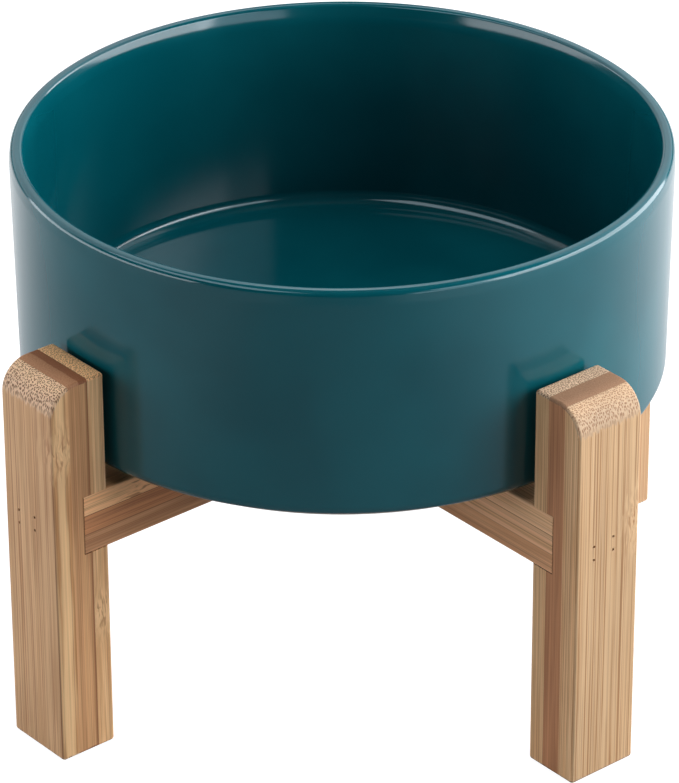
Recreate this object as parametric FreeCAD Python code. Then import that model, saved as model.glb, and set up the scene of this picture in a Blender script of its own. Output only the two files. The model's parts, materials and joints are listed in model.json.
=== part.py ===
import FreeCAD, Part
import math
import os

# Dog bowl on a bamboo stand, in millimetres, +Z up, origin on the floor at the stand's centre.
# The ceramic bowl stands on two rails that cross in a half-lap, between four legs.
# A leg or a rail is three bamboo strips glued together, and each leg is nailed to a rail's end.
# The lower rail runs along X and the upper rail along Y. A leg is drawn on +X and turned into place.

Vector = FreeCAD.Vector
centre = Vector(0, 0, 0)
up = Vector(0, 0, 1)

# Bowl
bowl_radius = 108.0         # where the lip begins
bowl_height = 84.5          # from the foot ring's underside to the rim
wall_lean = 1.2             # how far the wall's lower edge lies inside that
wall_thickness = 5.8
floor_thickness = 5.7
lip_width = 3.7             # the wall thins to this at the rim
lip_inner_round = 1.3
lip_outer_round = 2.0
taper = 0.5                 # how far the wall's outer face draws in to the rim
taper_height = 4.5          # from the rim down to where the outer face begins to draw in
flare_height = 4.8          # from the rim down to where the inner face begins to flare out
flare_round = 14.0          # where either begins
base_round = 4.0            # outside, where the wall turns under
cove_round = 5.0            # inside, between wall and floor
foot_height = 4.2           # of the ring that the bowl stands on
foot_width = 7.0
foot_inset = 9.0            # from the wall's lower edge in to the foot ring
foot_round = 0.8

# Legs
bowl_gap = 1.0              # between the bowl's radius and a leg's inner face
leg_width = 26.4            # the rails are as wide, flush with the legs' sides
outer_strip = 6.8
core_strip = 7.6
inner_strip = 6.6
leg_rise = 42.0             # from the rails' top to the leg's top
leg_top_round = 10.0        # the quarter-round at the outer top edge
leg_end_round = 1.2         # the other edges at the leg's ends
leg_edge_round = 1.1        # the upright edges, and on round the leg's ends

# Rails
rail_underside = 74.0       # above the floor
rail_strip = 7.0            # each of the strips named next is this high
rail_strip_names = ("bottom", "middle", "top")
rail_edge_round = 0.6       # the long edges
housing_depth = 9.7         # cut into a leg's inner face for a rail's end
housing_clearance = 0.3     # between the rail's end and the housing's floor
lap_clearance = 0.2         # each side of a rail, in the other rail's notch

# Pin nails, four in each leg
nail_radius = 0.45
nail_length = 25.0
nail_point = 1.5
nail_set = 0.8              # how far the head lies below the leg's outer face
nail_spacing_across = 8.2
nail_spacing_up = 4.8
nail_offset = 1.85          # of the four from the leg's middle
nail_stagger = 0.8          # how far the right-hand pair lies above the left-hand pair, from outside
nail_clearance = 0.02       # on the radius

# What follows from those sizes
rail_height = len(rail_strip_names) * rail_strip
rail_middle = rail_underside + rail_height / 2
rail_top = rail_underside + rail_height
leg_height = rail_top + leg_rise
leg_inner_face = bowl_radius + bowl_gap
leg_depth = inner_strip + core_strip + outer_strip
leg_outer_face = leg_inner_face + leg_depth
rail_end = leg_inner_face + housing_depth - housing_clearance

# How the rails lie, in degrees about the stand's centre, and where the two legs on each stand
lower_rail_turn = 0
upper_rail_turn = 90
half_turn = 180
leg_turns = {
    "back_right_leg": lower_rail_turn,
    "front_left_leg": lower_rail_turn + half_turn,
    "back_left_leg": upper_rail_turn,
    "front_right_leg": upper_rail_turn + half_turn,
}


# A flat face from its corners, each with the radius that rounds it
def rounded_face(corners):
    bends = []
    for number, (corner, radius) in enumerate(corners):
        back = (corners[number - 1][0] - corner).normalize()
        on = (corners[(number + 1) % len(corners)][0] - corner).normalize()
        half_angle = back.getAngle(on) / 2
        inward = (back + on).normalize()
        setback = radius / math.tan(half_angle)
        depth = radius / math.sin(half_angle) - radius
        bends.append((corner + back * setback, corner + inward * depth, corner + on * setback))
    edges = []
    for number, (start, middle, end) in enumerate(bends):
        if start != end:
            edges.append(Part.Arc(start, middle, end).toShape())
        next_start = bends[(number + 1) % len(bends)][0]
        edges.append(Part.LineSegment(end, next_start).toShape())
    return Part.Face(Part.Wire(edges))


# The bowl's half section, turned about its axis
def make_bowl():
    underside = rail_top + foot_height
    floor = underside + floor_thickness
    rim = rail_top + bowl_height
    base_radius = bowl_radius - wall_lean
    foot_outer = base_radius - foot_inset
    foot_inner = foot_outer - foot_width
    section = rounded_face([
        (Vector(0, 0, underside), 0),
        (Vector(foot_inner, 0, underside), foot_round),
        (Vector(foot_inner, 0, rail_top), foot_round),
        (Vector(foot_outer, 0, rail_top), foot_round),
        (Vector(foot_outer, 0, underside), foot_round),
        (Vector(base_radius, 0, underside), base_round),
        (Vector(bowl_radius, 0, rim - taper_height), flare_round),
        (Vector(bowl_radius - taper, 0, rim), lip_outer_round),
        (Vector(bowl_radius - taper - lip_width, 0, rim), lip_inner_round),
        (Vector(bowl_radius - wall_thickness, 0, rim - flare_height), flare_round),
        (Vector(base_radius - wall_thickness, 0, floor), cove_round),
        (Vector(0, 0, floor), 0),
    ])
    return section.revolve(centre, up, 360)


# One leg before its strips are told apart: a side outline drawn out to the leg's width
def make_leg_blank():
    side = rounded_face([
        (Vector(leg_inner_face, -leg_width / 2, 0), leg_end_round),
        (Vector(leg_outer_face, -leg_width / 2, 0), leg_end_round),
        (Vector(leg_outer_face, -leg_width / 2, leg_height), leg_top_round),
        (Vector(leg_inner_face, -leg_width / 2, leg_height), leg_end_round),
    ])
    blank = side.extrude(Vector(0, leg_width, 0))
    sides = [face for face in blank.Faces if abs(face.CenterOfMass.y) > leg_width / 4]
    return blank.makeFillet(leg_edge_round, [edge for face in sides for edge in face.Edges])


# One rail along X before its strips are told apart
def make_rail_blank():
    section = rounded_face([
        (Vector(-rail_end, -leg_width / 2, rail_underside), rail_edge_round),
        (Vector(-rail_end, leg_width / 2, rail_underside), rail_edge_round),
        (Vector(-rail_end, leg_width / 2, rail_top), rail_edge_round),
        (Vector(-rail_end, -leg_width / 2, rail_top), rail_edge_round),
    ])
    return section.extrude(Vector(2 * rail_end, 0, 0))


# The heads' places on the leg that stands on +X
def nail_heads():
    heads = []
    for across in (-0.5, 0.5):
        for rise in (-0.5, 0.5):
            y = across * nail_spacing_across - nail_offset
            z = rail_middle + rise * nail_spacing_up + across * nail_stagger
            heads.append(Vector(leg_outer_face - nail_set, y, z))
    return heads


def make_nails():
    nails = []
    for head in nail_heads():
        shank_end = -(nail_length - nail_point)
        half = Part.makePolygon([
            head,
            head + Vector(0, 0, nail_radius),
            head + Vector(shank_end, 0, nail_radius),
            head + Vector(-nail_length, 0, 0),
            head,
        ])
        nails.append(Part.Face(half).revolve(head, Vector(1, 0, 0), 360))
    return nails


# The nails' holes, from the leg's outer face to the nails' points
def make_nail_holes():
    radius = nail_radius + nail_clearance
    depth = nail_set + nail_length
    return [
        Part.makeCylinder(radius, depth, head + Vector(nail_set, 0, 0), Vector(-1, 0, 0))
        for head in nail_heads()
    ]


def make_leg_strips():
    blank = make_leg_blank()
    housing = Part.makeBox(
        housing_depth, leg_width, rail_height, Vector(leg_inner_face, -leg_width / 2, rail_underside))
    strips = {}
    face = leg_inner_face
    for name, depth in (("inner", inner_strip), ("core", core_strip), ("outer", outer_strip)):
        slab = Part.makeBox(depth, leg_width, leg_height, Vector(face, -leg_width / 2, 0))
        strips[name] = blank.common(slab).cut([housing] + make_nail_holes())
        face = face + depth
    return strips


# One rail along X, with the notch for the half-lap in its upper or its lower half
def make_rail_strips(notch_floor):
    notch_width = leg_width + 2 * lap_clearance
    notch = Part.makeBox(
        notch_width, leg_width, rail_height / 2, Vector(-notch_width / 2, -leg_width / 2, notch_floor))
    holes = make_nail_holes()
    far_holes = [hole.rotated(centre, up, half_turn) for hole in holes]
    blank = make_rail_blank().cut([notch] + holes + far_holes)
    strips = {}
    for number, name in enumerate(rail_strip_names):
        corner = Vector(-rail_end, -leg_width / 2, rail_underside + number * rail_strip)
        strips[name] = blank.common(Part.makeBox(2 * rail_end, leg_width, rail_strip, corner))
    return strips


# One file for each piece. A strip that a housing or the half-lap parts is two solids in one file.
def write(name, solids):
    shape = solids[0] if len(solids) == 1 else Part.makeCompound(solids)
    shape.exportStep("parts/" + name + ".step")
    print(name, len(solids), "solids", round(shape.Volume), "mm3")


os.makedirs("parts", exist_ok=True)

write("bowl", [make_bowl()])

# The lower rail's notch is open upwards, and the upper rail's downwards
for rail, turn, notch_floor in (
        ("lower_rail", lower_rail_turn, rail_middle),
        ("upper_rail", upper_rail_turn, rail_underside)):
    for name, strip in make_rail_strips(notch_floor).items():
        write(rail + "_" + name + "_strip", strip.rotated(centre, up, turn).Solids)

leg_strips = make_leg_strips()
nails = make_nails()
for leg, turn in leg_turns.items():
    for name, strip in leg_strips.items():
        write(leg + "_" + name + "_strip", strip.rotated(centre, up, turn).Solids)
    write(leg + "_nails", [nail.rotated(centre, up, turn) for nail in nails])
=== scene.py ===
import json
import math
import bmesh
import bpy
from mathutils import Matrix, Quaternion, Vector

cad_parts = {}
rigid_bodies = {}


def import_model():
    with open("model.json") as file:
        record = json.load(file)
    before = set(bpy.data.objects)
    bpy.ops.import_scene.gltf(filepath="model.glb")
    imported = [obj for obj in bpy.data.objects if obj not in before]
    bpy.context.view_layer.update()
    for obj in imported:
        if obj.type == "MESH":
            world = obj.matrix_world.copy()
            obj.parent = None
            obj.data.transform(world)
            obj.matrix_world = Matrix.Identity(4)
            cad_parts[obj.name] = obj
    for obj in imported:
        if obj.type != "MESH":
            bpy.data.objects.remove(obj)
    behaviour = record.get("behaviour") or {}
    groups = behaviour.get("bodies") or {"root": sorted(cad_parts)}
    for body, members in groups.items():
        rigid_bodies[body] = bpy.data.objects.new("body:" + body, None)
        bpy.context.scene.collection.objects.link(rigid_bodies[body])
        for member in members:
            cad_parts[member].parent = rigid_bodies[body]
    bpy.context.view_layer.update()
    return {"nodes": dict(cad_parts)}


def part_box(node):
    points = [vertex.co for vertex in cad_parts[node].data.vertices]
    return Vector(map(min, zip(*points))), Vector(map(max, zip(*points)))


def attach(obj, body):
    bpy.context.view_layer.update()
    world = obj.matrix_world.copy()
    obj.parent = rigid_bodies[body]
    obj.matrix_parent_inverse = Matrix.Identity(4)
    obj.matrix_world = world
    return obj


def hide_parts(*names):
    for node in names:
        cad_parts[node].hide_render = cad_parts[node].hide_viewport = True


# Dog bowl on a bamboo stand. The strips and nails of the frame get their finish here,
# and the bowl is modelled again with its lip, cove and foot ring.

bpy.ops.object.select_all(action="SELECT")      # the start-up file's own cube, lamp and camera
bpy.ops.object.delete()
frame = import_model()
millimetre = 0.001
print("frame loaded:", len(frame["nodes"]), "nodes")


# Edit-mode helpers: only what passes the test ends up selected

levelFace = 0.9                 # the least upright normal of a face that lies level


def pickFaces(piece, test):
    bpy.ops.mesh.select_mode(type="FACE")
    bpy.ops.mesh.select_all(action="DESELECT")
    shape = bmesh.from_edit_mesh(piece.data)
    for face in shape.faces:
        face.select_set(test(face.calc_center_median(), face.normal))
    shape.select_flush_mode()
    bmesh.update_edit_mesh(piece.data)


def pickRing(piece, radius, height):            # the edges of one ring round the Z axis
    reach = 0.1 * millimetre
    bpy.ops.mesh.select_mode(type="EDGE")
    bpy.ops.mesh.select_all(action="DESELECT")
    shape = bmesh.from_edit_mesh(piece.data)
    for edge in shape.edges:
        onRing = [
            abs(corner.co.z - height) < reach and abs(corner.co.xy.length - radius) < reach
            for corner in edge.verts]
        edge.select_set(all(onRing))
    shape.select_flush_mode()
    bmesh.update_edit_mesh(piece.data)


def roundRing(piece, radius, height, size, segments):
    pickRing(piece, radius, height)
    bpy.ops.mesh.bevel(offset=size, segments=segments, profile=0.5, affect="EDGES", clamp_overlap=False)


def finishMesh(piece, smoothAngle=40):
    bpy.ops.object.mode_set(mode="EDIT")
    bpy.ops.mesh.select_all(action="SELECT")
    bpy.ops.mesh.remove_doubles(threshold=0.01 * millimetre)
    bpy.ops.mesh.normals_make_consistent(inside=False)
    bpy.ops.object.mode_set(mode="OBJECT")
    bpy.ops.object.shade_smooth_by_angle(angle=math.radians(smoothAngle))
    weighted = piece.modifiers.new("faceWeights", "WEIGHTED_NORMAL")
    weighted.keep_sharp = True
    bpy.ops.object.modifier_apply(modifier=weighted.name)


# Bowl, sizes in metres

bowlShape = {
    "sides": 180,
    "radius": 0.1080,           # where the lip begins
    "wall": 0.0058,
    "lean": 0.0012,             # the wall's lower edge lies this far inside that
    "floor": 0.0057,
    "lipWidth": 0.0037,
    "lipInner": 0.0013,
    "lipOuter": 0.0020,
    "taper": 0.0005,            # the wall's outer face draws in this far to the rim
    "taperHeight": 0.0045,
    "flareHeight": 0.0048,      # and its inner face flares out over this much below the rim
    "flareRound": 0.0140,
    "baseRound": 0.0040,
    "cove": 0.0050,
    "footHeight": 0.0042,
    "footInset": 0.0090,
    "footWidth": 0.0070,
    "footRound": 0.0008,
    "floorRings": 6,
}


def makeBowl(spec):
    low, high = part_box("bowl")
    rim = high.z
    wallRadius = spec["radius"]
    baseRadius = wallRadius - spec["lean"]
    underside = low.z + spec["footHeight"]
    floorLevel = underside + spec["floor"]
    outerRim = wallRadius - spec["taper"]
    innerRim = outerRim - spec["lipWidth"]
    innerWall = wallRadius - spec["wall"]
    innerBase = baseRadius - spec["wall"]
    taperLevel = rim - spec["taperHeight"]
    flareLevel = rim - spec["flareHeight"]
    footOuter = baseRadius - spec["footInset"]
    footInner = footOuter - spec["footWidth"]

    bpy.ops.object.select_all(action="DESELECT")
    bpy.ops.mesh.primitive_cylinder_add(
        vertices=spec["sides"], radius=baseRadius, depth=taperLevel - underside,
        location=(0, 0, (taperLevel + underside) / 2))
    bowl = bpy.context.object
    bowl.name = "glazed_bowl"
    bpy.ops.object.transform_apply(location=True, rotation=True, scale=True)
    bpy.ops.object.mode_set(mode="EDIT")

    # the wall leans out to the lip, and the well is let down into it
    pickFaces(bowl, lambda centre, normal: normal.z > levelFace)
    lean = wallRadius / baseRadius
    bpy.ops.transform.resize(value=(lean, lean, 1))
    for level, rise, before, after in (
            ("lip", rim - taperLevel, wallRadius, outerRim),
            ("flare", flareLevel - rim, innerRim, innerWall),
            ("well", floorLevel - flareLevel, innerWall, innerBase)):
        if level == "flare":
            bpy.ops.mesh.inset(thickness=spec["lipWidth"])
        bpy.ops.mesh.extrude_region_move(TRANSFORM_OT_translate={"value": (0, 0, rise)})
        bpy.ops.transform.resize(value=(after / before, after / before, 1))

    # foot ring
    pickFaces(bowl, lambda centre, normal: normal.z < -levelFace)
    bpy.ops.mesh.inset(thickness=spec["footInset"])
    bpy.ops.mesh.inset(thickness=spec["footWidth"])
    middle = (footOuter + footInner) / 2
    pickFaces(bowl, lambda centre, normal: normal.z < -levelFace
              and abs(centre.xy.length - middle) < spec["footWidth"] / 2)
    bpy.ops.mesh.extrude_region_move(TRANSFORM_OT_translate={"value": (0, 0, -spec["footHeight"])})

    taperTurn = math.atan(spec["taper"] / spec["taperHeight"])
    flareTurn = math.atan((innerRim - innerWall) / spec["flareHeight"])
    upright = math.pi / 2
    for radius, height, size, turn, segments in (
            (outerRim, rim, spec["lipOuter"], upright - taperTurn, 8),
            (innerRim, rim, spec["lipInner"], upright - flareTurn, 6),
            (wallRadius, taperLevel, spec["flareRound"], taperTurn, 6),
            (innerWall, flareLevel, spec["flareRound"], flareTurn, 6),
            (innerBase, floorLevel, spec["cove"], upright, 12),
            (baseRadius, underside, spec["baseRound"], upright, 10),
            (footOuter, low.z, spec["footRound"], upright, 4),
            (footInner, low.z, spec["footRound"], upright, 4)):
        roundRing(bowl, radius, height, size * math.tan(turn / 2), segments)

    # rings across the well's floor and the underside, so that no face is one wide disc
    for level, side in ((floorLevel, 1), (underside, -1)):
        pickFaces(bowl, lambda centre, normal: normal.z * side > levelFace
                  and abs(centre.z - level) < millimetre and centre.xy.length < millimetre)
        reach = (innerBase - spec["cove"]) if side > 0 else footInner
        for ring in range(spec["floorRings"]):
            bpy.ops.mesh.inset(thickness=reach / (spec["floorRings"] + 1))
        bpy.ops.mesh.poke()
    bpy.ops.object.mode_set(mode="OBJECT")
    finishMesh(bowl)
    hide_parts("bowl")
    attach(bowl, "bowl")
    return bowl


bowl = makeBowl(bowlShape)
print("bowl modelled:", len(bowl.data.polygons), "faces")


# Shader helpers: a value is a number, a colour or another node's output

def feed(tree, socket, value):
    if isinstance(value, bpy.types.NodeSocket):
        tree.links.new(value, socket)
    else:
        socket.default_value = value


def calc(tree, operation, *values):
    node = tree.nodes.new("ShaderNodeMath")
    node.operation = operation
    for socket, value in zip(node.inputs, values):
        feed(tree, socket, value)
    return node.outputs["Value"]


def vectorCalc(tree, operation, *values):
    node = tree.nodes.new("ShaderNodeVectorMath")
    node.operation = operation
    for socket, value in zip(node.inputs, values):
        feed(tree, socket, value)
    return node.outputs["Vector"]


def rampUp(tree, value, start, end, low=0.0, high=1.0):
    node = tree.nodes.new("ShaderNodeMapRange")
    node.interpolation_type = "SMOOTHSTEP"
    for name, given in (
            ("Value", value), ("From Min", start), ("From Max", end), ("To Min", low), ("To Max", high)):
        feed(tree, node.inputs[name], given)
    return node.outputs["Result"]


def noise(tree, place, scale=1.0, detail=2.0, roughness=0.5):
    node = tree.nodes.new("ShaderNodeTexNoise")
    feed(tree, node.inputs["Vector"], place)
    node.inputs["Scale"].default_value = scale
    node.inputs["Detail"].default_value = detail
    node.inputs["Roughness"].default_value = roughness
    return node


def mixColour(tree, factor, first, second, blend="MIX"):
    node = tree.nodes.new("ShaderNodeMix")
    node.data_type = "RGBA"
    node.blend_type = blend
    node.clamp_factor = True
    feed(tree, node.inputs[0], factor)
    feed(tree, node.inputs[6], first)
    feed(tree, node.inputs[7], second)
    return node.outputs[2]


def groupTree(name, inputs, outputs):
    tree = bpy.data.node_groups.new(name, "ShaderNodeTree")
    for label, kind in inputs:
        tree.interface.new_socket(name=label, in_out="INPUT", socket_type="NodeSocket" + kind)
    for label, kind in outputs:
        tree.interface.new_socket(name=label, in_out="OUTPUT", socket_type="NodeSocket" + kind)
    return tree, tree.nodes.new("NodeGroupInput").outputs, tree.nodes.new("NodeGroupOutput").inputs


def newMaterial(name):
    material = bpy.data.materials.new(name)
    material.use_nodes = True
    tree = material.node_tree
    return material, tree, tree.nodes["Principled BSDF"]


def dress(piece, material):
    piece.data.materials.clear()
    piece.data.materials.append(material)


# Bamboo: one solid grain for every strip. Grain is (thickness, width, length) in metres from the strip's
# middle, Facing is 1 on a face cut square across the fibres, and Broad is 1 on the face that the
# thickness points out of.

bambooScale = {
    "bundles": (1.7, 1.35, 0),          # vessel bundles to the millimetre, by thickness and by width
    "scatter": 0.75,
    "fibre": (2.2, 2.2, 0.012),         # how quickly each pattern changes, by thickness, width and length
    "streak": (0.42, 0.42, 0.016),
    "cloud": (0.06, 0.06, 0.02),
    "fade": (0.9, 0.9, 0.014),
    "stroke": (1.1, 1.1, 0.13),
    "wander": (0.05, 0.05, 0.010),
    "ripple": (0.5, 0.5, 0.03),
    "knotCurl": (0.34, 0.34, 0.14),
    "wanderReach": 3.4,                 # how far the streaks stray along a strip, in millimetres
    "rippleReach": 0.4,
    "threadShare": 0.15,                # how much of that the bundles follow
    "knotReach": (9, 5, 9),             # millimetres of bent fibres round a knot
    "knotBend": 3.2,
    "seedStep": (37.3, 61.7, 911.0),    # millimetres from one strip's stretch of bamboo to the next one's
    "cleanEnd": 0.4,                    # how much of the outward face's painted shade an end cut does without
    "roughness": (0.40, 0.52),
    "endRoughness": 0.12,               # added on an end cut
    "specular": 0.2,                    # a thin satin lacquer
    "bumpStrength": 0.35,
    "bumpDistance": 0.0001,
}


def sway(tree, place, rates, reach):            # a smooth sideways shift, the same all along a short length
    pattern = noise(tree, vectorCalc(tree, "MULTIPLY", place, rates), detail=1)
    centred = vectorCalc(tree, "SUBTRACT", pattern.outputs["Color"], (0.5, 0.5, 0.5))
    return vectorCalc(tree, "MULTIPLY", centred, (reach, reach, 0))


def knotMask(tree, given, place, reach):        # strongest in the middle of a knot, and fading out round it
    offKnot = vectorCalc(tree, "DIVIDE", vectorCalc(tree, "SUBTRACT", place, given["Knot"]), reach)
    squared = tree.nodes.new("ShaderNodeVectorMath")
    squared.operation = "DOT_PRODUCT"
    feed(tree, squared.inputs[0], offKnot)
    feed(tree, squared.inputs[1], offKnot)
    nearKnot = calc(tree, "EXPONENT", calc(tree, "MULTIPLY", squared.outputs["Value"], -1.0))
    return calc(tree, "MULTIPLY", given["Knot Strength"], nearKnot)


def bambooPatterns(tree, given, spec):
    place = vectorCalc(tree, "MULTIPLY", given["Grain"], (1 / millimetre,) * 3)
    parts = tree.nodes.new("ShaderNodeSeparateXYZ")
    feed(tree, parts.inputs[0], place)
    depth = parts.outputs["X"]
    shift = tree.nodes.new("ShaderNodeCombineXYZ")
    for axis, step in zip("XYZ", spec["seedStep"]):
        feed(tree, shift.inputs[axis], calc(tree, "MULTIPLY", given["Seed"], step))
    seeded = vectorCalc(tree, "ADD", place, shift.outputs["Vector"])

    # fibres stray slowly along the strip, and bend sharply at a knot
    stray = vectorCalc(tree, "ADD", sway(tree, seeded, spec["wander"], spec["wanderReach"]),
                       sway(tree, seeded, spec["ripple"], spec["rippleReach"]))
    atKnot = knotMask(tree, given, place, spec["knotReach"])
    bend = tree.nodes.new("ShaderNodeVectorMath")
    bend.operation = "SCALE"
    feed(tree, bend.inputs["Vector"], sway(tree, seeded, spec["knotCurl"], spec["knotBend"]))
    feed(tree, bend.inputs["Scale"], atKnot)
    bent = vectorCalc(tree, "ADD", seeded, bend.outputs["Vector"])
    warped = vectorCalc(tree, "ADD", bent, stray)
    straight = vectorCalc(tree, "MULTIPLY_ADD", stray, (spec["threadShare"],) * 3, bent)

    # vessel bundles: dots in the end grain, thin lines along the sides
    bundles = tree.nodes.new("ShaderNodeTexVoronoi")
    bundles.voronoi_dimensions = "2D"
    bundles.inputs["Scale"].default_value = 1.0
    bundles.inputs["Randomness"].default_value = spec["scatter"]
    feed(tree, bundles.inputs["Vector"], vectorCalc(tree, "MULTIPLY", straight, spec["bundles"]))
    tone = tree.nodes.new("ShaderNodeSeparateColor")
    feed(tree, tone.inputs[0], bundles.outputs["Color"])

    wood = {
        "depth": depth, "atKnot": atKnot, "bundle": bundles.outputs["Distance"],
        "strand": tone.outputs["Red"], "fray": tone.outputs["Green"]}
    for name, course, detail, roughness in (
            ("fibre", straight, 2, 0.6),
            ("streak", warped, 3, 0.5),
            ("cloud", seeded, 2, 0.5),
            ("fade", seeded, 1, 0.5),
            ("stroke", warped, 2, 0.5)):
        scaled = vectorCalc(tree, "MULTIPLY", course, spec[name])
        wood[name] = noise(tree, scaled, detail=detail, roughness=roughness).outputs["Fac"]
    wood["inward"] = calc(tree, "SUBTRACT", calc(tree, "SUBTRACT", given["Heart"], depth), wood["streak"])
    return wood


def alongFibres(tree, given, wood):             # the colour of a face that runs with the grain, and its lines
    sapPlace = calc(tree, "MULTIPLY_ADD", wood["cloud"], 4.0, wood["depth"])
    offSap = calc(tree, "ABSOLUTE", calc(tree, "SUBTRACT", sapPlace, given["Sap"]))
    sap = calc(tree, "MULTIPLY", rampUp(tree, offSap, 2.2, 1.0), calc(tree, "SUBTRACT", 1.0, given["Broad"]))
    clear = calc(tree, "MAXIMUM", wood["atKnot"], sap)
    shade = rampUp(tree, wood["streak"], 0.42, 0.62)
    shade = calc(tree, "MULTIPLY", shade, calc(tree, "MULTIPLY_ADD", given["Broad"], -0.4, 0.75))
    shade = calc(tree, "MULTIPLY", shade, calc(tree, "SUBTRACT", 1.0, clear))
    heart = rampUp(tree, wood["inward"], -0.9, 0.5)
    side = mixColour(tree, heart, mixColour(tree, shade, given["Pale"], given["Deep"]), given["Pore"])

    thread = rampUp(tree, wood["bundle"], 0.42, 0.22)
    thread = calc(tree, "MULTIPLY", thread, rampUp(tree, wood["strand"], 0.0, 0.8, 0.15, 1.0))
    thread = calc(tree, "MULTIPLY", thread, rampUp(tree, wood["fade"], 0.32, 0.52, 0.25, 1.0))
    hair = rampUp(tree, wood["fibre"], 0.54, 0.68, 0.0, 0.55)
    line = calc(tree, "MULTIPLY", calc(tree, "MAXIMUM", thread, hair), given["Line Strength"])
    line = calc(tree, "MULTIPLY", line, calc(tree, "MULTIPLY_ADD", clear, -0.75, 1.0))
    curl = calc(tree, "MULTIPLY", wood["atKnot"], rampUp(tree, wood["stroke"], 0.52, 0.64, 0.0, 0.8))
    side = mixColour(tree, calc(tree, "MAXIMUM", line, curl), side, given["Vein"])
    seamStart = calc(tree, "SUBTRACT", given["Seam"], 0.35)
    seam = rampUp(tree, calc(tree, "ABSOLUTE", wood["depth"]), seamStart, given["Seam"])
    return mixColour(tree, calc(tree, "MULTIPLY", seam, 0.75), side, given["Pore"]), line


def acrossFibres(tree, given, wood):            # the colour of an end cut, and its pores
    strength = rampUp(tree, wood["strand"], 0.0, 0.5, 0.65, 1.0)
    strength = calc(tree, "MULTIPLY", given["Pore Strength"], strength)
    speck = calc(tree, "MULTIPLY", rampUp(tree, wood["bundle"], 0.42, 0.26), strength)
    speck = calc(tree, "MULTIPLY", speck, rampUp(tree, given["Facing"], 0.06, 0.35, 0.3, 1.0))
    end = mixColour(tree, rampUp(tree, wood["inward"], -3.1, -2.5), given["End"], given["Pore"])
    return mixColour(tree, speck, end, given["Pore"]), speck


def makeBambooGroup(spec):
    tree, given, out = groupTree(
        "bambooGrain",
        [("Grain", "Vector"), ("Facing", "Float"), ("Broad", "Float"), ("Skin", "Color"), ("Seed", "Float"),
         ("Pale", "Color"), ("Deep", "Color"), ("Vein", "Color"), ("End", "Color"), ("Pore", "Color"),
         ("Knot", "Vector"), ("Knot Strength", "Float"), ("Heart", "Float"), ("Sap", "Float"),
         ("Seam", "Float"), ("Line Strength", "Float"), ("Pore Strength", "Float")],
        [("Color", "Color"), ("Roughness", "Float"), ("Height", "Float")])
    wood = bambooPatterns(tree, given, spec)
    side, line = alongFibres(tree, given, wood)
    end, speck = acrossFibres(tree, given, wood)
    ragged = calc(tree, "SUBTRACT", given["Facing"], calc(tree, "MULTIPLY", wood["fray"], 0.10))
    across = rampUp(tree, ragged, 0.03, 0.09)

    colour = mixColour(tree, across, side, end)
    # painted shade: the outward face, less so on its end cuts, is darkened against the strip's sides
    faceShadeShare = calc(tree, "MULTIPLY_ADD", across, -spec["cleanEnd"], 1.0)
    faceShadeShare = calc(tree, "MULTIPLY", given["Broad"], faceShadeShare)
    faceShade = mixColour(tree, faceShadeShare, (1, 1, 1, 1), given["Skin"])
    colour = mixColour(tree, 1.0, colour, faceShade, "MULTIPLY")
    bright = calc(tree, "MULTIPLY", rampUp(tree, wood["fibre"], 0.3, 0.7, 1.08, 0.90),
                  rampUp(tree, wood["cloud"], 0.3, 0.7, 0.96, 1.08))
    level = tree.nodes.new("ShaderNodeCombineColor")
    for channel in ("Red", "Green", "Blue"):
        feed(tree, level.inputs[channel], bright)
    feed(tree, out["Color"], mixColour(tree, 1.0, colour, level.outputs["Color"], "MULTIPLY"))

    rough = rampUp(tree, wood["fibre"], 0.3, 0.7, *spec["roughness"])
    endRough = calc(tree, "MULTIPLY", across, spec["endRoughness"])
    feed(tree, out["Roughness"], calc(tree, "ADD", rough, endRough))
    sunk = calc(tree, "MAXIMUM", calc(tree, "MULTIPLY", speck, across), calc(tree, "MULTIPLY", line, 0.5))
    raised = calc(tree, "MULTIPLY", wood["fibre"], -0.4)
    feed(tree, out["Height"], calc(tree, "SUBTRACT", raised, sunk))
    return tree


bambooGroup = makeBambooGroup(bambooScale)


def makeBamboo(name, turn, middle, look):
    material, tree, shader = newMaterial(name)
    shader.inputs["Specular IOR Level"].default_value = bambooScale["specular"]
    coords = tree.nodes.new("ShaderNodeTexCoord")
    grain = tree.nodes.new("ShaderNodeMapping")
    grain.inputs["Rotation"].default_value = turn
    grain.inputs["Location"].default_value = middle
    tree.links.new(coords.outputs["Object"], grain.inputs["Vector"])
    facing = tree.nodes.new("ShaderNodeMapping")
    facing.vector_type = "VECTOR"
    facing.inputs["Rotation"].default_value = turn
    tree.links.new(coords.outputs["Normal"], facing.inputs["Vector"])
    split = tree.nodes.new("ShaderNodeSeparateXYZ")
    tree.links.new(facing.outputs["Vector"], split.inputs[0])

    group = tree.nodes.new("ShaderNodeGroup")
    group.node_tree = bambooGroup
    tree.links.new(grain.outputs["Vector"], group.inputs["Grain"])
    feed(tree, group.inputs["Facing"], calc(tree, "ABSOLUTE", split.outputs["Z"]))
    feed(tree, group.inputs["Broad"], rampUp(tree, split.outputs["X"], 0.5, 0.9))
    for label, value in look.items():
        group.inputs[label].default_value = value
    bump = tree.nodes.new("ShaderNodeBump")
    bump.inputs["Strength"].default_value = bambooScale["bumpStrength"]
    bump.inputs["Distance"].default_value = bambooScale["bumpDistance"]
    tree.links.new(group.outputs["Height"], bump.inputs["Height"])
    tree.links.new(group.outputs["Color"], shader.inputs["Base Color"])
    tree.links.new(group.outputs["Roughness"], shader.inputs["Roughness"])
    tree.links.new(bump.outputs["Normal"], shader.inputs["Normal"])
    return material


def tint(red, green, blue):                     # a colour as it is picked on screen, 0 to 255
    def linear(level):
        share = level / 255
        return share / 12.92 if share <= 0.04045 else ((share + 0.055) / 1.055) ** 2.4
    return (linear(red), linear(green), linear(blue), 1.0)
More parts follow.
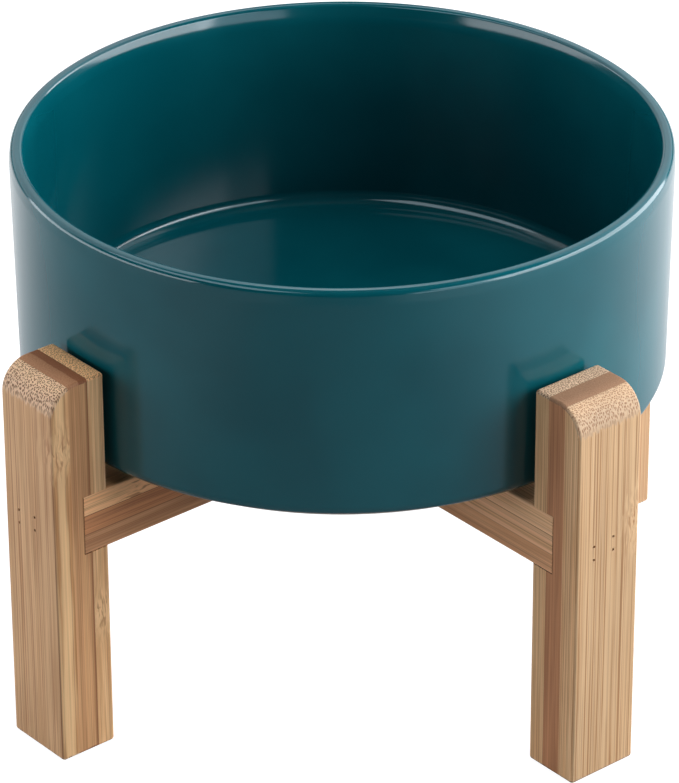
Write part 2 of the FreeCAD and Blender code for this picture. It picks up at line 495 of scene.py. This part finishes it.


# How each kind of strip looks, and what is special on one strip. Heart is the depth inside which the
# strip is dark, Sap the depth of a pale band, Seam that of the glue lines. The outward face's tint is painted
# shade that darkens that face against the strip's sides.
stripLooks = {
    "outer": {
        "Pale": tint(228, 186, 144), "Deep": tint(212, 165, 121), "Vein": tint(180, 125, 85),
        "End": tint(235, 196, 155), "Pore": tint(153, 102, 62),
        "Line Strength": 0.7, "Pore Strength": 0.8},
    "core": {
        "Pale": tint(208, 155, 112), "Deep": tint(180, 125, 89), "Vein": tint(147, 94, 62),
        "End": tint(182, 138, 104), "Pore": tint(135, 90, 62),
        "Line Strength": 0.4, "Pore Strength": 0.35},
    "inner": {
        "Pale": tint(226, 184, 138), "Deep": tint(210, 161, 115), "Vein": tint(175, 120, 77),
        "End": tint(218, 167, 119), "Pore": tint(120, 76, 45),
        "Line Strength": 0.55, "Pore Strength": 0.75},
    "top": {
        "Pale": tint(220, 165, 115), "Deep": tint(200, 143, 96), "Vein": tint(167, 108, 66),
        "End": tint(210, 157, 110), "Pore": tint(102, 65, 42),
        "Line Strength": 0.5, "Pore Strength": 0.6},
    "middle": {
        "Pale": tint(200, 143, 100), "Deep": tint(171, 114, 77), "Vein": tint(139, 84, 55),
        "End": tint(186, 139, 104), "Pore": tint(90, 57, 38),
        "Line Strength": 0.5, "Pore Strength": 0.4, "Seam": 3.5},
    "bottom": {
        "Pale": tint(210, 159, 115), "Deep": tint(186, 133, 93), "Vein": tint(153, 98, 62),
        "End": tint(194, 145, 106), "Pore": tint(102, 65, 42),
        "Line Strength": 0.5, "Pore Strength": 0.4},
}
# the outer strips of the two front legs carry painted shade on their outward faces, set against their sides
specials = {
    "front_left_leg_outer_strip": {
        "Pale": tint(240, 196, 144), "Deep": tint(188, 130, 80), "Vein": tint(176, 112, 72), "Sap": 2.0,
        "End": tint(231, 192, 153), "Pore": tint(114, 73, 43), "Knot": (0, 13, 114), "Knot Strength": 1.0,
        "Line Strength": 0.7, "Pore Strength": 0.95, "Skin": (0.755, 0.735, 0.79, 1)},
    "front_left_leg_core_strip": {
        "Pale": tint(216, 165, 117), "Deep": tint(192, 139, 95), "End": tint(178, 126, 89),
        "Pore": tint(143, 88, 55), "Heart": -2.9},
    "front_left_leg_inner_strip": {
        "Pale": tint(242, 197, 146), "Deep": tint(210, 155, 104), "End": tint(255, 198, 140),
        "Pore Strength": 0.75, "Knot": (0, 13, 50), "Knot Strength": 1.0},
    "front_right_leg_outer_strip": {
        "Pale": tint(238, 195, 149), "Deep": tint(222, 174, 125), "Vein": tint(180, 125, 79),
        "End": tint(205, 171, 136), "Pore": tint(140, 92, 58), "Knot": (3, 12.5, 90), "Knot Strength": 1.3,
        "Line Strength": 0.85, "Pore Strength": 0.75, "Skin": (0.69, 0.70, 0.70, 1)},
    "front_right_leg_core_strip": {
        "Pale": tint(196, 139, 100), "Deep": tint(171, 118, 83), "End": tint(154, 116, 88)},
    "front_right_leg_inner_strip": {
        "End": tint(216, 182, 150), "Pore": tint(105, 66, 40), "Pore Strength": 0.9},
    "back_right_leg_outer_strip": {"Pale": tint(202, 168, 131), "Deep": tint(189, 149, 111)},
    "lower_rail_top_strip": {
        "Pale": tint(255, 198, 144), "Deep": tint(242, 176, 122), "Knot": (0, -13, 96), "Knot Strength": 1.0},
    "lower_rail_middle_strip": {"Pale": tint(212, 147, 100), "Deep": tint(183, 119, 79)},
    "lower_rail_bottom_strip": {"Pale": tint(203, 151, 110), "Deep": tint(179, 127, 88)},
    "upper_rail_top_strip": {
        "Pale": tint(245, 198, 153), "Deep": tint(226, 176, 129)},
    "upper_rail_middle_strip": {
        "Pale": tint(240, 190, 146), "Deep": tint(220, 168, 122), "Pore": tint(122, 82, 55)},
    "upper_rail_bottom_strip": {
        "Pale": tint(220, 167, 125), "Deep": tint(198, 143, 100)},
}
nowhere = 99.0                  # a depth that no strip reaches
plainStrip = {
    "Skin": (1, 1, 1, 1), "Knot": (0, 0, 0), "Knot Strength": 0,
    "Heart": -nowhere, "Sap": nowhere, "Seam": nowhere}
firstSeed, seedGap = 1.0, 0.37
legTurns = {"back_right_leg": 0, "back_left_leg": -90, "front_left_leg": 180, "front_right_leg": 90}
railTurns = {"lower_rail": (0, 90, 0), "upper_rail": (90, 0, 90)}


def dressStrips():
    for number, (name, node) in enumerate(sorted(frame["nodes"].items())):
        if not name.endswith("_strip"):
            continue
        low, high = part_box(name)
        centre = (low + high) / 2
        owner, kind = name.rsplit("_", 2)[:2]
        if owner in legTurns:
            turn = (0, 0, math.radians(legTurns[owner]))
            outward = max(abs(centre.x), abs(centre.y))
            middle = (-outward, 0, 0)
        else:
            turn = tuple(math.radians(angle) for angle in railTurns[owner])
            middle = (-centre.z, 0, 0)
        look = dict(plainStrip, Seed=firstSeed + number * seedGap)
        look.update(stripLooks[kind])
        look.update(specials.get(name, {}))
        dress(node, makeBamboo(name, turn, middle, look))


dressStrips()
print("bamboo strips dressed")


# Nails: dull steel with a little scale on it

steelLook = {"bright": tint(38, 31, 26), "dark": tint(18, 14, 11), "scale": 3000, "roughness": (0.35, 0.6)}


def makeSteel(spec):
    material, tree, shader = newMaterial("nail_steel")
    coords = tree.nodes.new("ShaderNodeTexCoord")
    scale = noise(tree, coords.outputs["Object"], scale=spec["scale"], detail=3)
    worn = rampUp(tree, scale.outputs["Fac"], 0.4, 0.65)
    shader.inputs["Metallic"].default_value = 1.0
    feed(tree, shader.inputs["Base Color"], mixColour(tree, worn, spec["bright"], spec["dark"]))
    feed(tree, shader.inputs["Roughness"], rampUp(tree, scale.outputs["Fac"], 0.3, 0.7, *spec["roughness"]))
    return material


nailSteel = makeSteel(steelLook)
for name, node in frame["nodes"].items():
    if name.endswith("_nails"):
        dress(node, nailSteel)
print("nails dressed")


# Glaze, and the bare clay under the foot ring

glazeLook = {
    "thick": tint(0, 77, 86),
    "thin": tint(4, 86, 95),
    "clay": tint(214, 202, 186),
    "clayDark": tint(186, 172, 154),
    "bareHeight": 0.0014,       # of the foot ring's unglazed edge
    "bareWaver": 0.0012,        # how far that edge strays up and down
    "bareBlur": 0.0001,
    "bareRoughness": 0.6,       # added on the bare clay
    "satin": (0.11, 0.14),      # the glaze's roughness
    "poolScale": 22,
    "gritScale": 900,
    "waverScale": 260,
    "peelScale": 420,
    "peelStrength": 0.10,
    "peelHeight": 0.00004,
}


def makeGlaze(spec):
    low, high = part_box("bowl")
    material, tree, shader = newMaterial("teal_glaze")
    coords = tree.nodes.new("ShaderNodeTexCoord")
    place = coords.outputs["Object"]
    parts = tree.nodes.new("ShaderNodeSeparateXYZ")
    tree.links.new(place, parts.inputs[0])
    pooled = noise(tree, place, scale=spec["poolScale"], detail=2)
    glaze = mixColour(tree, rampUp(tree, pooled.outputs["Fac"], 0.3, 0.7), spec["thick"], spec["thin"])
    grit = noise(tree, place, scale=spec["gritScale"], detail=3)
    clay = mixColour(tree, grit.outputs["Fac"], spec["clay"], spec["clayDark"])
    waver = calc(tree, "SUBTRACT", noise(tree, place, scale=spec["waverScale"]).outputs["Fac"], 0.5)
    edge = calc(tree, "MULTIPLY_ADD", waver, spec["bareWaver"], parts.outputs["Z"])
    bareTop = low.z + spec["bareHeight"]
    bare = rampUp(tree, edge, bareTop + spec["bareBlur"], bareTop - spec["bareBlur"])
    feed(tree, shader.inputs["Base Color"], mixColour(tree, bare, glaze, clay))
    satin = rampUp(tree, pooled.outputs["Fac"], 0.3, 0.7, *spec["satin"])
    bareRough = calc(tree, "MULTIPLY", bare, spec["bareRoughness"])
    feed(tree, shader.inputs["Roughness"], calc(tree, "ADD", satin, bareRough))
    peel = noise(tree, place, scale=spec["peelScale"], detail=2)
    bump = tree.nodes.new("ShaderNodeBump")
    bump.inputs["Strength"].default_value = spec["peelStrength"]
    bump.inputs["Distance"].default_value = spec["peelHeight"]
    tree.links.new(peel.outputs["Fac"], bump.inputs["Height"])
    tree.links.new(bump.outputs["Normal"], shader.inputs["Normal"])
    return material


dress(bowl, makeGlaze(glazeLook))
print("bowl glazed")


# Studio

studioFloor = {
    "radius": 6.0,
    "level": -0.0002,           # a little under the feet, which would flicker through it
    "colour": tint(135, 135, 137),
    "white": 0.96,
    "mirrored": (0.03, 0.62),   # the glow that the glaze shows, before and behind the stand
    "behind": (-0.1, 0.5),      # where it grows from the one to the other
    "left": 0.20,               # and what is added to it on the left
    "leftFrom": (-0.12, -0.30),
    "right": 0.36,
    "rightFrom": (0.10, 0.36),
    "rightward": (0.77, 0.64),  # shares of X and of -Y
}


def makeFloor(spec):
    bpy.ops.object.select_all(action="DESELECT")
    bpy.ops.mesh.primitive_circle_add(
        vertices=96, radius=spec["radius"], fill_type="NGON", location=(0, 0, spec["level"]))
    floor = bpy.context.object
    floor.name = "studio_floor"
    material, tree, shader = newMaterial("studio_floor")
    tree.nodes.remove(shader)
    matt = tree.nodes.new("ShaderNodeBsdfDiffuse")
    matt.inputs["Color"].default_value = spec["colour"]
    glow = tree.nodes.new("ShaderNodeEmission")
    rays = tree.nodes.new("ShaderNodeLightPath")
    seen = calc(tree, "MULTIPLY", rays.outputs["Is Camera Ray"], spec["white"])
    mirrored = calc(tree, "MAXIMUM", rays.outputs["Is Glossy Ray"], rays.outputs["Is Transmission Ray"])
    coords = tree.nodes.new("ShaderNodeTexCoord")
    parts = tree.nodes.new("ShaderNodeSeparateXYZ")
    tree.links.new(coords.outputs["Object"], parts.inputs[0])
    behind = calc(tree, "ADD", parts.outputs["X"], parts.outputs["Y"])
    sweep = rampUp(tree, behind, *spec["behind"], *spec["mirrored"])
    alongX, againstY = spec["rightward"]
    right = calc(tree, "SUBTRACT", calc(tree, "MULTIPLY", parts.outputs["X"], alongX),
                 calc(tree, "MULTIPLY", parts.outputs["Y"], againstY))
    sweep = calc(tree, "ADD", sweep, rampUp(tree, right, *spec["rightFrom"], 0.0, spec["right"]))
    sweep = calc(tree, "ADD", sweep, rampUp(tree, right, *spec["leftFrom"], 0.0, spec["left"]))
    feed(tree, glow.inputs["Strength"], calc(tree, "MULTIPLY_ADD", mirrored, sweep, seen))
    both = tree.nodes.new("ShaderNodeAddShader")
    tree.links.new(matt.outputs["BSDF"], both.inputs[0])
    tree.links.new(glow.outputs["Emission"], both.inputs[1])
    tree.links.new(both.outputs["Shader"], tree.nodes["Material Output"].inputs["Surface"])
    dress(floor, material)


makeFloor(studioFloor)

cameraSet = {
    "azimuth": 39.82,           # degrees, from +Y towards +X, the way it looks
    "fall": 29.04,              # degrees below level
    "distance": 1.6288,
    "aimHeight": 0.0854,
    "aimSide": -0.00124,
    "roll": -0.268,
    "focal": 4887,              # in pixels of a picture 783 high
    "pictureHeight": 783,
    "sensor": 36.0,
    "clip": (0.05, 50),
}


def lookDirection(azimuth, fall):
    turn, tip = math.radians(azimuth), math.radians(fall)
    return Vector((math.sin(turn) * math.cos(tip), math.cos(turn) * math.cos(tip), -math.sin(tip)))


def makeCamera(spec):
    turn = math.radians(spec["azimuth"])
    side = Vector((math.cos(turn), -math.sin(turn), 0))
    look = lookDirection(spec["azimuth"], spec["fall"])
    aim = side * spec["aimSide"] + Vector((0, 0, spec["aimHeight"]))
    bpy.ops.object.camera_add(location=aim - look * spec["distance"])
    camera = bpy.context.object
    camera.rotation_mode = "QUATERNION"
    roll = Quaternion((0, 0, 1), math.radians(spec["roll"]))
    camera.rotation_quaternion = look.to_track_quat("-Z", "Y") @ roll
    camera.data.sensor_width = spec["sensor"]
    camera.data.lens = spec["focal"] * spec["sensor"] / spec["pictureHeight"]
    camera.data.clip_start, camera.data.clip_end = spec["clip"]
    bpy.context.scene.camera = camera


makeCamera(cameraSet)

lamps = {       # degrees to the camera's right, degrees up, metres off, size, watts
    "key": {
        "side": 90, "rise": 16, "distance": 1.0, "width": 1.7, "height": 0.7, "power": 24.8},
    "fill": {
        "side": -84, "rise": 8, "distance": 1.0, "width": 1.5, "height": 0.45, "power": 9.0},
    "backRight": {
        "side": 142, "rise": 36, "distance": 1.2, "width": 1.5, "height": 1.1, "power": 6.6},
    "backLeft": {
        "side": -142, "rise": 34, "distance": 1.2, "width": 1.5, "height": 1.1, "power": 5.6},
    "top": {
        "side": 90, "rise": 82, "distance": 1.4, "width": 0.8, "height": 0.8, "power": 8.8, "shiny": False},
    "keyWing": {
        "side": 38, "rise": 8, "distance": 1.0, "width": 0.6, "height": 0.4, "power": 1.6, "soft": False},
    "keyHigh": {
        "side": 60, "rise": 30, "distance": 1.0, "width": 1.0, "height": 0.3, "power": 3.3, "soft": False},
    "fillHigh": {
        "side": -63, "rise": 57, "distance": 1.0, "width": 0.9, "height": 0.35, "power": 3.1, "soft": False},
}
daylight = (0.95, 0.99, 1.04)
skylight = (0.86, 1.02, 1.14)
lampAim = Vector((0, 0, 0.11))


def makeLamps():
    for name, spec in lamps.items():
        away = -lookDirection(cameraSet["azimuth"] - spec["side"], spec["rise"])
        bpy.ops.object.light_add(type="AREA", location=lampAim + away * spec["distance"])
        lamp = bpy.context.object
        lamp.name = name + "_lamp"
        lamp.rotation_mode = "QUATERNION"
        lamp.rotation_quaternion = (-away).to_track_quat("-Z", "Y")
        lamp.data.shape = "RECTANGLE"
        lamp.data.size = spec["width"]
        lamp.data.size_y = spec["height"]
        lamp.data.energy = spec["power"]
        lamp.data.color = daylight if spec.get("soft", True) else skylight
        lamp.visible_glossy = spec.get("shiny", True)      # whether the glaze mirrors it
        lamp.visible_diffuse = spec.get("soft", True)       # and whether it lights what is matt


def makeWorld(glow=0.02):
    world = bpy.data.worlds.new("studio")
    bpy.context.scene.world = world
    world.use_nodes = True
    tree = world.node_tree
    tree.nodes.clear()
    rays = tree.nodes.new("ShaderNodeLightPath")
    white = tree.nodes.new("ShaderNodeBackground")
    white.inputs["Color"].default_value = (1, 1, 1, 1)
    dim = tree.nodes.new("ShaderNodeBackground")
    dim.inputs["Color"].default_value = (glow, glow, glow, 1)
    pick = tree.nodes.new("ShaderNodeMixShader")
    end = tree.nodes.new("ShaderNodeOutputWorld")
    tree.links.new(rays.outputs["Is Camera Ray"], pick.inputs["Fac"])
    tree.links.new(dim.outputs["Background"], pick.inputs[1])
    tree.links.new(white.outputs["Background"], pick.inputs[2])
    tree.links.new(pick.outputs["Shader"], end.inputs["Surface"])


makeLamps()
makeWorld()
bpy.context.scene.view_settings.view_transform = "Standard"
print("studio set")
